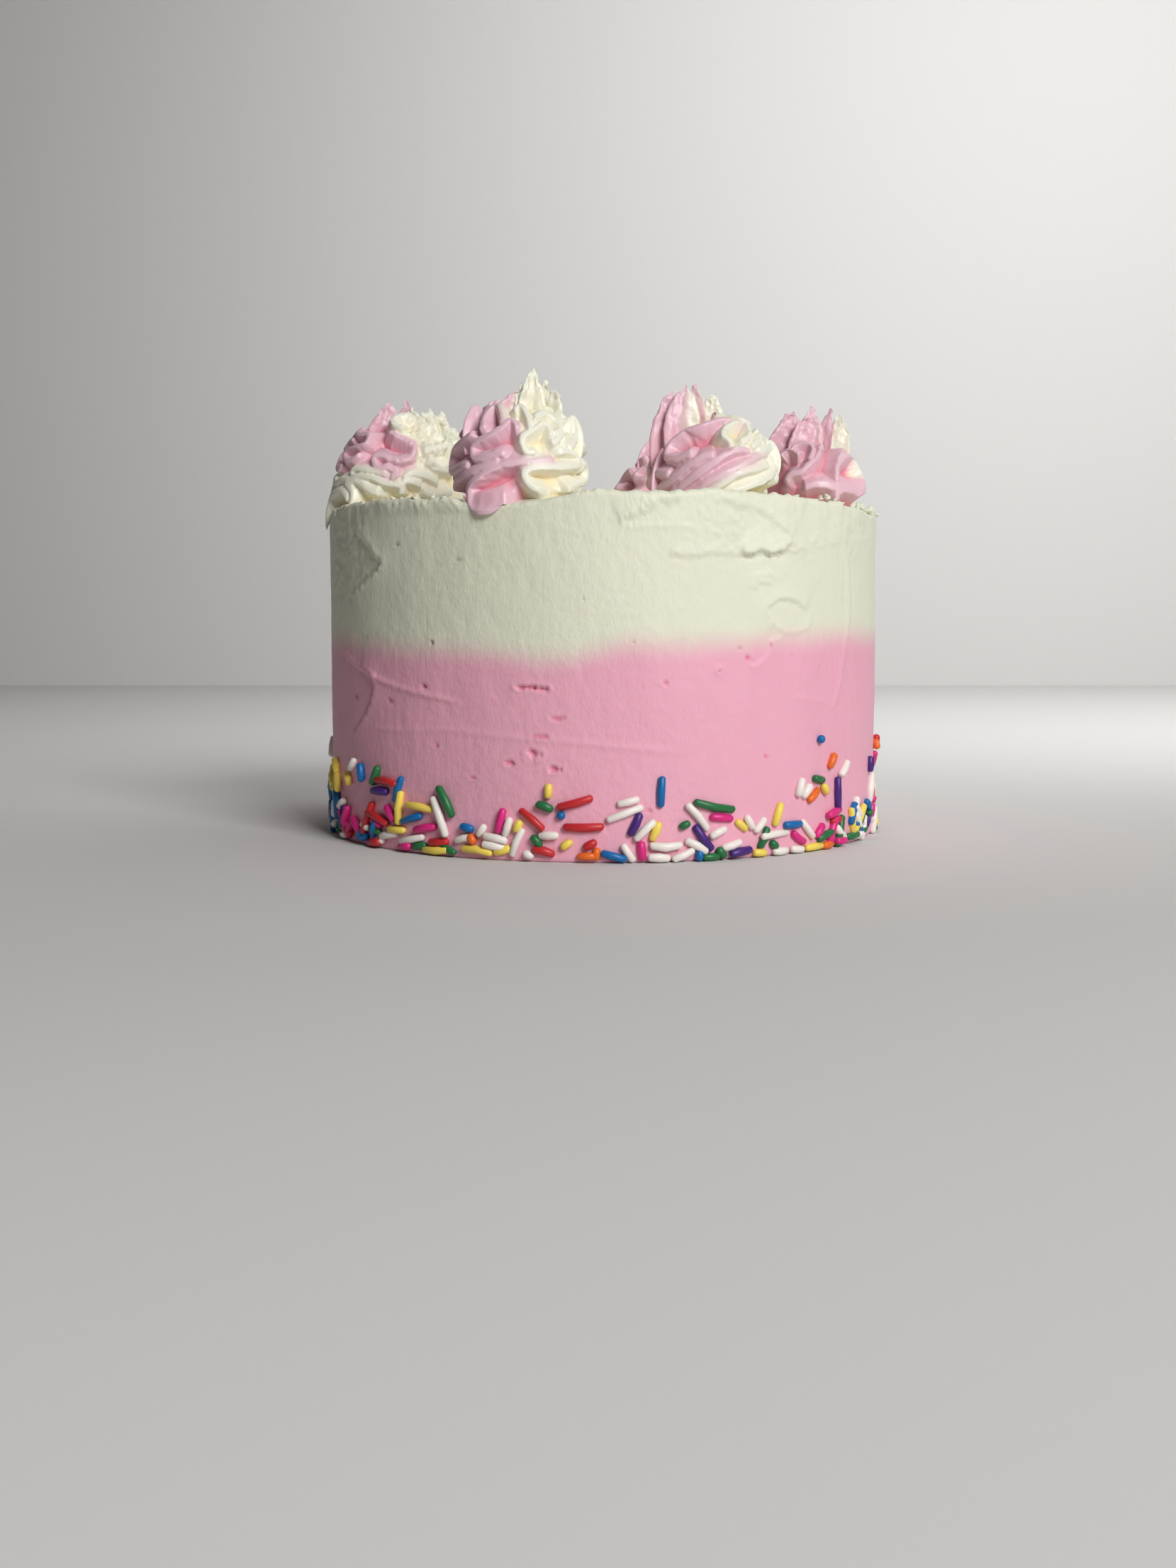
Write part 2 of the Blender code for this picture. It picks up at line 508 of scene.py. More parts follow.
def markSide(angle, up, rough, fine):
    # millimetres out for the knife marks and pits, and how far inside a pit each place is, for the pits'
    # painted shade
    out = np.zeros(angle.shape)
    torn = np.zeros(angle.shape)
    arc = np.radians(angle) * cakeRadius
    reach = marking["reach"]
    for kind, size, width, points in knifeMarks:
        line = smoothLine([(math.radians(a) * cakeRadius, h) for a, h in points], 3)
        near = (arc > min(p[0] for p in line) - reach) & (arc < max(p[0] for p in line) + reach)
        near &= (up > min(p[1] for p in line) - reach) & (up < max(p[1] for p in line) + reach)
        gap, side, share, _ = distanceTo(line, arc[near], up[near])
        gap = gap + rough[near] * width * (1.0 if kind == "torn" else marking["wobble"])
        ends = fadeEnds(share, 0.1)
        sharp = bell(gap, width)
        broad = np.exp(-np.abs(gap) / (width * marking["broadness"]))
        if kind == "ridge":
            lift = size * sharp * (0.4 + 0.6 * ends)
        else:
            lift = marking["step"] * size * np.where(side > 0, broad, sharp) * ends
            lift = lift - marking["groove"] * size * bell(gap - width, width) * (side < 0) * ends
        crumbly = 1.0 if kind == "torn" else marking["crumbliness"]
        lift = lift + crumbly * size * np.abs(fine[near]) * bell(gap, width * marking["crumbWidth"]) * ends
        out[near] += lift
    for around, height, wide, tall, deep in pits:
        across = (arc - math.radians(around) * cakeRadius) / wide * 2
        over = (up - height) / tall * 2
        gap = np.sqrt(across ** 2 + over ** 2) + rough * 0.6 + fine * 0.15
        bowl = 1 - smoothStep(0.35, 1.1, gap)
        collar = bell(gap - 1.25, 0.35) * (0.5 + np.abs(fine))
        out += collar * deep * marking["pitCollar"] - bowl * deep * marking["pitDepth"]
        # torn is how far inside a pit each place is, for the painted shade there
        torn = np.maximum(torn, bowl)
    return out, torn


def patchShare(angle, up, patch):
    start, full, fade, end, foot, head = patch
    return smoothStep(start, full, angle) * smoothStep(end, fade, angle) * smoothStep(foot, head, up)


def makeCake(material):
    profile = np.array(cakeProfile())
    mesh, turn, row = makeSheet("cake_frosting", cake["columns"], len(profile) - 1)
    turn = turn - cake["frontBias"] * np.sin(turn)
    radius = profile[row, 0]
    up = profile[row, 1]
    angle = np.degrees(turn)
    onCylinder = aroundAxis(cakeRadius, turn, up)
    onSide = smoothStep(0.93, 0.985, radius / cakeRadius) * smoothStep(0, 1.5, up)
    slow = noiseField(onCylinder, *cake["slow"])
    medium = noiseField(onCylinder, *cake["medium"])
    rough = noiseField(onCylinder, *cake["rough"])
    fine = noiseField(onCylinder, *cake["fine"])
    marks, torn = markSide(angle, up, rough, fine)
    out = slow * cake["waver"] + medium * cake["mediumDepth"] + rough * cake["grainDepth"]
    out = out + fine * cake["fineDepth"] + marks
    # the upper right is trowelled rougher than the rest
    bumps = np.abs(rough) * 0.4 + np.abs(fine) * 0.12 + medium * 0.3
    out = out + patchShare(angle, up, cake["roughPatch"]) * bumps
    out = out + patchShare(angle, up, cake["leftPatch"]) * (rough * 0.22 + fine * 0.15 - 0.15)
    lumps = 0.3 + np.abs(rough) * 0.35 + np.abs(fine) * 0.25
    out = out + patchShare(angle, up, cake["rimPatch"]) * lumps
    rimAngles, rimRise = zip(*rimHeights)
    rise = np.interp(angle, rimAngles, rimRise)
    ragged = noiseField(onCylinder, *cake["ragged"])
    onRim = bell(cakeRadius - radius - 1.0, cake["rimLipWidth"])
    onRim = onRim * smoothStep(cakeHeight - cake["rimLipDepth"], cakeHeight - 0.5, up)
    newRadius = radius + out * onSide
    teeth = np.abs(noiseField(onCylinder, *cake["teeth"]))
    teeth = teeth * smoothStep(0.2, 0.9, noiseField(onCylinder, *cake["teethPatches"]) + 0.5)
    newUp = up + onRim * (rise + ragged * cake["raggedness"] + teeth * cake["toothiness"])
    onTop = (up > cakeHeight - 0.01) & (radius < cakeRadius - 4)
    swirlMarks = np.sin(radius * 0.55 + turn * 2) * 0.15 + slow * 0.3
    swirlMarks = swirlMarks * smoothStep(0, 6, cakeRadius - 4 - radius) * smoothStep(4, 25, radius)
    newUp = np.where(onTop, newUp + swirlMarks, newUp)
    writePoints(mesh, aroundAxis(newRadius, turn, newUp) * mm)
    tideAngles, tideRise = zip(*tideHeights)
    addAttribute(mesh, "tide", -np.interp(angle, tideAngles, tideRise) * mm)
    # the torn attribute carries the painted shade of the pits
    addAttribute(mesh, "torn", torn)
    closeMesh(mesh)
    piece = addPiece("cake_frosting", mesh, material)
    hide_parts("frosted_cake")
    print("cake frosting:", len(mesh.polygons), "faces")


# Crumbs stuck to the rim: (degrees round, mm above the cake's top, mm across).
rimCrumbs = (
    (46, 1.6, 1.3), (47.2, 2.2, 1.1), (48.6, 1.7, 1.5), (50, 1.3, 1.0), (45, 0.9, 0.9), (61, 0.7, 1.8),
    (64, 1.0, 2.2), (67, 0.4, 2.8), (70, 0.6, 2.2), (72, -0.3, 2.0), (66, -1.2, 1.6), (-45, 1.2, 1.3),
    (-42, 1.0, 1.0), (-38, 1.1, 1.6), (-34, 0.8, 1.1), (-31, 0.6, 1.4), (-27, -0.4, 0.9), (-10, -1.0, 1.2),
    (-5, 1.0, 1.0), (9, 1.2, 0.9), (-48, 0.6, 1.7), (24, 1.7, 1.0), (31, 1.9, 0.8), (39, 1.5, 0.9),
    (-52, 1.1, 1.5), (54, 0.8, 1.1), (-56, 0.6, 1.8),
)


backCrumbs = 26


def makeCrumbs(material):
    bm = bmesh.new()
    rng = random.Random(5)
    extra = []
    for _ in range(backCrumbs):
        extra.append((rng.uniform(75, 300), rng.uniform(-0.5, 1.2), rng.uniform(0.7, 1.8)))
    for around, over, size in list(rimCrumbs) + extra:
        made = bmesh.ops.create_icosphere(bm, subdivisions=3, radius=size / 2)["verts"]
        stretch = Matrix.Diagonal((rng.uniform(0.8, 1.5), rng.uniform(0.7, 1.1), rng.uniform(0.6, 1.0)))
        place = (
            Matrix.Rotation(math.radians(around), 4, "Z")
            @ Matrix.Translation((0, -(cakeRadius - rng.uniform(0.4, 1.6)), cakeHeight + over - size * 0.15))
        )
        for vert in made:
            lump = 1 + 0.9 * noise.noise(vert.co * 2.2 / size + Vector((around, over, size)))
            vert.co = place @ (stretch @ (vert.co * lump))
    bmesh.ops.scale(bm, vec=(mm, mm, mm), verts=bm.verts)
    mesh = meshFrom(bm, "rim_crumbs")
    closeMesh(mesh)
    piece = addPiece("rim_crumbs", mesh, material)
    print("rim crumbs:", len(rimCrumbs) + len(extra))


swirl = {
    "columns": 330,
    "rows": 175,
    "undersideRows": 8,
    "outlineSteps": 400,
    "frontBias": 0.3,
    "lipHeight": 4.6,
    "lipHalf": 0.5,  # half the thickness of a lip
    "reachAbove": 6.5,  # how far a lip's flank runs up into the valley above it
    "reachBelow": 2.6,
    "hollowness": 1.9,
    "around": 7.5,  # how far a lip changes what is round it
    "crackle": 0.16,
    "tierPitch": 8.6,
    "petalsPerTurn": 6.4,
    "petalLength": 11.5,
    "petalTall": 7.0,
    "tilt": 24,
    "leafSides": 56,
    "leafRows": 48,
    "leafFullness": 3.0,  # how long a peak stays broad on its way up
    "leafThickness": 0.16,  # of the peak's width
}

# Lips of the ruffles that face the front: (pink share, points as mm right of the middle and
# mm above the cake).
# Fluff is torn, billowy frosting: (degrees round its middle, half its width in degrees,
# mm up from, mm up to, amount).
# Hanging parts reach out over the rim: (degrees round, half the width in degrees, mm out, mm down).
# Peaks: (mm right, mm back and mm up its foot, mm right and mm up its tip, mm wide,
# degrees turned, pink share at its left and at its right, how torn).
swirls = (
    {"node": "swirl_1", "turned": 20, "pinkFrom": 265, "pinkWide": 100,
     "height": 27.5, "fullness": 4.0, "halfWidth": 18.5,
     "fluff": ((42, 36, 12, 30, 1.3), (48, 26, 3, 12, 0.35)),
     "hanging": ((-70, 42, 3.2, 2.6), (-20, 30, 0.8, 1.0)),
     "lips": (
        (1, ((-1.5, 24.5), (-1, 22.5), (1.5, 21), (4.5, 19.5), (6, 17.5), (5.5, 15), (3, 14), (0, 14.5),
             (-2.5, 15.5), (-4.5, 15.5), (-5, 14), (-3.5, 12), (-1, 12), (1.5, 11), (1.5, 10), (0, 9.5),
             (-2.5, 10.5))),
        (1, ((-9.5, 26), (-11.5, 25), (-11.5, 23.5), (-10, 22), (-8, 22), (-7, 21.5), (-7.5, 19.5),
             (-9.5, 18.5), (-13, 18), (-14.5, 17), (-14, 15.5), (-13, 14.5), (-11, 15), (-9.5, 16),
             (-8.5, 15.5))),
        (1, ((-12.5, 23), (-14.5, 23.5), (-16.5, 23), (-17, 21.5), (-15.5, 19), (-13, 21), (-11.5, 21))),
        (0.1, ((3, 6), (2.5, 7.5), (-1.5, 8), (-5.5, 9.5), (-8.5, 10), (-10.5, 10), (-11.5, 11), (-10.5, 12),
               (-8.5, 11.8), (-5.5, 11.3), (-2, 10.4), (0.5, 8.8))),
        (0, ((-2, 5.5), (-5.5, 6.5), (-8.5, 8), (-11, 9), (-14.5, 9.5), (-16.5, 9), (-17.5, 10),
             (-16.5, 11))),
        (0, ((-13.5, 9), (-11.5, 7.5), (-10.5, 5.5), (-10.5, 2))),
        (0, ((-15.5, -1), (-17, 2.5), (-17.5, 5), (-17.5, 6.5), (-14.5, 7), (-12.5, 6), (-11, 4.5))),
        (0, ((-18, 5.5), (-18.4, 7.5), (-18.2, 9.5), (-17.5, 10.5))),
        (1, ((-15.5, 18), (-17, 17), (-17.5, 15), (-16, 12.5), (-14.5, 14.5))),
        (0, ((4.5, 28), (1, 28), (-0.5, 27), (-0.5, 25.5), (1, 24), (3, 23.5))),
        (0, ((18, 21), (15.5, 24), (14, 24.5))),
        (0, ((14.5, 19.5), (11.5, 18), (8.5, 16.5))),
        (0.3, ((3, 8.5), (5.5, 10.5), (8.5, 10.5), (11, 10), (14, 8))),
        (0.1, ((3, 4.5), (3.5, 8), (6, 8.5), (9, 7))),
        (0, ((8.5, 5.8), (11, 4.6), (14, 4.8), (17, 6.5))),
        (0, ((6, 2.5), (9, 1.6), (13, 2.0), (16, 3.2))),
        (0, ((9.5, 14.5), (12, 12.8), (15, 12.5), (17.5, 13.5))),
     ),
     "peaks": ((-4.5, 0, 18, -2.2, 31.8, 11, 20, 1, 0.7, 0.8), (2, 3, 25, 2.5, 32.6, 4, 0, 1, 1, 0.7),
               (3, 0, 20, 4.5, 30.6, 8.5, -15, 0.1, 0, 0.9), (8, 0, 18, 8.5, 30.6, 8.5, 10, 0, 0, 0.9),
               (11, 2, 18, 12, 29.6, 8, 0, 0, 0, 0.9), (14.5, 2, 14, 15.5, 25, 7, 20, 0, 0, 0.8))},
    {"node": "swirl_2", "turned": 75, "pinkFrom": 270, "pinkWide": 95,
     "height": 25.0, "fullness": 4.4, "halfWidth": 18.2,
     "fluff": ((62, 26, 10, 22, 0.5),),
     "hanging": ((-25, 21, 4.0, 1.2), (24, 24, 3.4, 0.8)),
     "lips": (
        (1, ((8, 11), (8, 9), (3, 8.5), (-2.5, 8), (-7, 6.5), (-10, 4.5), (-11, 3), (-10.5, 0.5),
             (-8.5, -0.5), (-5.5, -0.5), (-3, 0), (-1, 1))),
        (0.05, ((8, 11), (11.5, 11.5), (14.5, 11), (15, 9), (14, 8), (10, 7.5), (5.5, 7.5), (3, 7), (1.5, 6),
                (2, 4), (3.5, 2.5), (7, 1.5))),
        (0, ((8, 14), (8, 16.5), (6.5, 18.5), (4, 16.5), (1.5, 15), (1, 13.5), (1.5, 11.5), (3, 10.5),
             (5.5, 11))),
        (1, ((0.5, 15), (-0.5, 17.5), (-2, 19), (-4, 17), (-7.5, 15), (-10, 14), (-11.5, 12.5),
             (-11.5, 10.5), (-10.5, 9.5), (-8.5, 9.5), (-4.5, 10.5), (-1, 9.5))),
        (1, ((-10.5, 17), (-13.5, 15), (-16.5, 13.5), (-18.2, 11), (-18.2, 8.5), (-17, 7), (-14, 8),
             (-11.5, 8))),
        (1, ((-16.5, 2), (-16, 4.5), (-12.5, 6), (-8, 7.5), (-4, 8.5))),
        (1, ((-15, 15), (-15, 18.5), (-14, 21), (-11, 23), (-9, 23.5), (-8, 23), (-9, 19.5), (-9, 16.5))),
        (0.5, ((-9, 16), (-9, 19.5), (-7.5, 22.5), (-6, 23.5), (-5, 23), (-4, 19.5), (-4, 17.5))),
        (0, ((-1.5, 21), (0, 23), (1.5, 21.5), (2.5, 19.5), (3, 17), (2.5, 15))),
        (0, ((3.5, 17.5), (4.5, 20), (6.5, 21.5), (8.5, 21), (10, 19.5), (10.5, 17), (8.5, 15.5))),
        (0, ((10, 21), (12.5, 20.5), (14.5, 18.5), (15, 16), (14, 13.5), (12.5, 13))),
        (0, ((8, 13), (10, 14.5), (11.5, 16.5), (12, 14), (12, 12))),
        (0, ((15, 7), (16.5, 9), (17, 7), (16.5, 4.5), (14, 3.5), (10, 2))),
     ),
     "peaks": ((2.4, 0, 17, 3.2, 33.4, 7.5, 10, 0, 0, 0.9), (7, 1, 17, 9, 28.4, 7, -20, 0, 0, 0.9),
               (0.5, 1, 17, 0.6, 30.2, 6.5, 25, 0.1, 0, 0.8), (-11, -6, 11, -10.8, 24, 8, 20, 1, 1, 0.1),
               (-5.6, -10, 13, -5, 23.8, 6.5, 0, 0.9, 0.25, 0.1),
               (7.7, -9, 11, 8.2, 21.8, 7, -10, 0, 0, 0.1), (12.4, -5, 10, 13, 21.4, 6.5, 15, 0, 0, 0.1),
               (4.8, 2, 17, 6.2, 30.5, 6.5, -5, 0, 0, 0.9), (-3.5, 0, 18, -1, 28.2, 9, 20, 0.9, 0.1, 0.7),
               (-6, 1, 20, -6.5, 26, 5, 0, 1, 0.6, 0.7))},
    {"node": "swirl_3", "turned": 140, "pinkFrom": 275, "pinkWide": 120,
     "height": 21.5, "fullness": 4.0, "halfWidth": 17.6,
     "fluff": ((60, 26, 5, 12, 0.4),),
     "hanging": ((-30, 40, 0.5, 1.5),),
     "lips": (
        (1, ((6, 20), (1, 20.5), (-3.5, 19), (-8, 17.5), (-11.5, 15), (-13, 12.5), (-13, 10.5), (-10.5, 10),
             (-8, 11), (-5.5, 12))),
        (1, ((-17, 1.5), (-14.5, 3.5), (-11.5, 5.5), (-8, 8), (-4.5, 10), (-0.5, 11))),
        (1, ((-14, 0.5), (-10.5, 3), (-7, 5.5), (-2, 8.5), (2.5, 11), (4.5, 12), (9.5, 12))),
        (0.8, ((-10, 0.5), (-4.5, 3.5), (-0.5, 5.5), (5.5, 8), (11, 11.5), (14.5, 13))),
        (1, ((-17, 5.5), (-17.4, 9), (-17.2, 12), (-16, 14), (-13, 16))),
        (1, ((-17, 3.5), (-16.6, 6), (-15, 7), (-12, 6.5))),
        (0, ((4, 13), (2, 15), (1, 16.5), (2.5, 18.5), (5.5, 20), (7.5, 19), (8, 16.5), (7, 15), (4, 13.5))),
        (0, ((8, 13), (11, 15), (11, 17), (9.5, 18.5))),
        (0, ((10, 12.5), (13.5, 13.5), (15, 15), (14, 16.5), (12.5, 17))),
        (0.2, ((-5.5, 0.5), (-0.5, 3.5), (5.5, 6.5), (10, 7.5), (14.5, 10))),
        (0, ((-0.5, 0.3), (5.5, 2.5), (10, 4), (14, 6), (16, 8))),
        (0, ((15, 12.5), (15.5, 9.5), (16.5, 7), (15.5, 4.5))),
     ),
     "peaks": ((-12, -1, 8, -11, 28, 11.5, 10, 1, 0.9, 0.6),
               (-9.2, -3.5, 12, -7.8, 29.6, 9.8, 5, 1, 0.15, 0.6),
               (-4.2, 0, 15, -5, 30.3, 5, -10, 0.8, 0.5, 0.7), (-0.8, 2, 16, -0.6, 28.2, 6.5, 0, 0, 0, 0.9),
               (-13.2, -5.5, -1, -11.6, 15, 11, 30, 1, 1, 0.1), (9.7, -7, 8, 9.6, 17.4, 6.5, -10, 0, 0, 0.1),
               (13.4, -4, 7, 13.6, 15.8, 6, 10, 0, 0, 0.1))},
    {"node": "swirl_4", "turned": 205, "pinkFrom": 290, "pinkWide": 150,
     "height": 22.5, "fullness": 3.6, "halfWidth": 17.0,
     "fluff": (),
     "hanging": ((50, 45, 0.8, 1.5),),
     "lips": (
        (1, ((12.5, 6.5), (15.5, 7.5), (16, 10.5), (16, 14), (15, 16.5), (12.5, 17), (9.5, 16.5), (8, 15),
             (6.5, 13), (6.5, 11.5), (6.5, 9.5), (8.5, 8))),
        (1, ((-8.5, 8), (-6.5, 11), (-4, 11.5), (-1, 14), (1, 16), (2.5, 19), (3, 20))),
        (1, ((-6.5, 18.5), (-3.5, 20), (-1, 20), (0, 18.5), (-0.5, 16.5), (-1.5, 14.5))),
        (1, ((-9, 16.5), (-8, 17.5), (-6, 18), (-3.5, 16.5))),
        (1, ((-3.5, 7), (0, 8), (2.5, 8), (5.5, 7.5), (8, 7.5))),
        (1, ((6.5, 4), (6.5, 6), (9, 7), (11.5, 7), (13, 6))),
        (0.9, ((10, 19), (8, 16), (7, 14.5))),
     ),
     "peaks": ((-7.5, 3, 14, -4, 30.6, 12, 15, 1, 1, 0.9), (-2, -1, 14, 1.2, 30.9, 11, 10, 1, 0.6, 0.9),
               (3.8, -1, 13, 6.6, 30.8, 5, -25, 1, 0.8, 0.6), (8, 1, 14, 9.3, 29.4, 8, 0, 0.1, 0, 1.0))},
    {"node": "swirl_5", "turned": 265, "pinkFrom": 270, "pinkWide": 110,
     "height": 24.5, "fullness": 3.2, "halfWidth": 17.8,
     "fluff": (),
     "hanging": ((180, 60, 1, 1.5),),
     "lips": (),
     "peaks": ((-6, 0, 17, -4, 29, 9, 20, 1, 0.8, 0.3), (0, 0, 17, 1, 30, 9, -10, 0.6, 0.1, 0.5),
               (6, 1, 17, 7, 28, 7, 0, 0, 0, 1.0), (0, 6, 16, 0, 27, 9, 10, 0.5, 0, 0.6))},
    {"node": "swirl_6", "turned": 330, "pinkFrom": 270, "pinkWide": 110,
     "height": 25, "fullness": 3.4, "halfWidth": 18.0,
     "fluff": (),
     "hanging": ((180, 60, 1, 1.5),),
     "lips": (),
     "peaks": ((-5, 0, 17, -4, 29, 9, 10, 1, 0.7, 0.3), (1, 0, 17, 0, 30.5, 9, -10, 0.4, 0.1, 0.6),
               (6, 1, 17, 8, 28, 7, 10, 0, 0, 1.0), (-1, 6, 16, 0, 28, 8, 0, 0.5, 0, 0.6))},
)


def swirlOutline(shape, steps):
    # the core's radius, height, outward direction and distance up its outline, from its top down to its foot
    halfWidth = shape["halfWidth"] - swirl["lipHeight"]
    height = shape["height"] - swirl["lipHeight"] * 0.7
    rise = np.linspace(1, 0, swirl["outlineSteps"])
    belly = 0.9 + 0.1 * np.sin(math.pi * np.minimum(rise * 1.3, 1))
    radius = halfWidth * (1 - rise ** shape["fullness"]) ** 0.6 * belly
    up = rise * height
    run = np.concatenate([[0], np.cumsum(np.hypot(np.diff(radius), np.diff(up)))])
    places = np.linspace(0, run[-1], steps)
    radius = np.interp(places, run, radius)
    up = np.interp(places, run, up)
    slopeR = np.gradient(radius)
    slopeZ = np.gradient(up)
    length = np.hypot(slopeR, slopeZ)
    outR = -slopeZ / length
    outZ = slopeR / length
    return {"radius": radius, "up": up, "outR": outR, "outZ": outZ, "climb": run[-1] - places}


def frontLips(shape, outline):
    # the listed lips, as degrees round in radians and mm up the outline
    lipUp = (outline["up"] + outline["outZ"] * swirl["lipHeight"])[::-1]
    lipRadius = (outline["radius"] + outline["outR"] * swirl["lipHeight"])[::-1]
    climb = outline["climb"][::-1]
    found = []
    for pink, points in shape["lips"]:
        line = []
        for right, up in smoothLine(points):
            radius = np.interp(up, lipUp, lipRadius)
            turn = math.asin(max(-0.995, min(0.995, right / radius)))
            line.append((turn, float(np.interp(up, lipUp, climb))))
        found.append((pink, line))
    return found


def helixLips(shape, outline, rng):
    # cupped lips in one row that winds up the swirl, for the sides that the listed lips leave bare
    found = []
    step = 360 / swirl["petalsPerTurn"]
    around = shape["turned"] - 120
    up = 3.0
    while up < outline["climb"][0] * 0.96:
        facing = (around + 180) % 360 - 180
        shrink = 1 - 0.35 * up / outline["climb"][0]
        turned = (around - shape["pinkFrom"] + 180) % 360 - 180
        pink = 1 - float(smoothStep(shape["pinkWide"] * 0.75, shape["pinkWide"] * 1.15, abs(turned)))
        length = swirl["petalLength"] * shrink * rng.uniform(0.9, 1.2)
        tall = swirl["petalTall"] * shrink * rng.uniform(0.85, 1.15)
        lean = math.radians(swirl["tilt"] + rng.uniform(-8, 12))
        radius = float(np.interp(up, outline["climb"][::-1], outline["radius"][::-1])) + 3
        if not shape["lips"] or abs(facing) > 88:
            line = []
            for bearing in range(150, -120, -15):
                right = -length / 2 * math.cos(math.radians(bearing))
                over = tall / 2 * math.sin(math.radians(bearing))
                across = right * math.cos(lean) - over * math.sin(lean)
                rise = right * math.sin(lean) + over * math.cos(lean)
                line.append((math.radians(facing) + across / max(radius, 5), up + rise))
            found.append((pink, line))
        around += step * rng.uniform(0.85, 1.15)
        up += swirl["tierPitch"] / swirl["petalsPerTurn"] * rng.uniform(0.9, 1.1)
    return found


def makePeak(middle, peak):
    # a pulled-up leaf of frosting, cupped, and torn along its tip
    right, back, foot, tipRight, tip, wide, turned, pinkLeft, pinkRight, torn = peak
    bm = bmesh.new()
    pink = bm.verts.layers.float.new("pink")
    lipPaintedLight = bm.verts.layers.float.new("lipPaintedLight")
    made = bmesh.ops.create_uvsphere(
        bm, u_segments=swirl["leafSides"], v_segments=swirl["leafRows"], radius=1.0,
    )["verts"]
    facing = Matrix.Rotation(math.radians(turned), 3, "Z")
    for vert in made:
        rise = (vert.co.z + 1) / 2
        flat = Vector((vert.co.x, vert.co.y, 0))
        flat = flat.normalized() if flat.length > 1e-6 else flat
        taper = (1 - rise ** swirl["leafFullness"]) ** (0.45 + 0.45 * torn)
        taper = taper * (0.75 + 0.9 * rise * (1 - rise))
        cup = wide * 0.2 * flat.x * flat.x * (1 - 0.5 * rise)
        lean = rise ** 1.3
        sideways = right + (tipRight - right) * lean
        spine = Vector((sideways, back * (1 - 0.5 * rise), foot + (tip - foot) * rise))
        across = facing @ Vector((flat.x * wide / 2 * taper, -cup * taper, 0))
        ridges = 1 + 0.16 * math.sin(flat.x * 6 + foot) * (1 - flat.x * flat.x)
        thick = facing @ Vector((0, flat.y * wide * swirl["leafThickness"] * taper * ridges, 0))
        spot = spine + across
        ragged = noise.noise_vector(spot * 0.4) * 0.9 + noise.noise_vector(spot * 0.95) * 0.5
        teeth = noise.noise_vector(spot * 1.8) * 0.2 * smoothStep(0.55, 0.9, rise)
        vert.co = middle + spot + thick + (ragged * rise * (0.4 + rise) + teeth) * torn
        share = (flat.x + 1) / 2
        vert[pink] = pinkLeft * (1 - share) + pinkRight * share
        # painted light: each peak is lit colour towards its tip and painted shade at its foot
        vert[lipPaintedLight] = 0.6 + 0.4 * rise
    return meshFrom(bm, "peak")


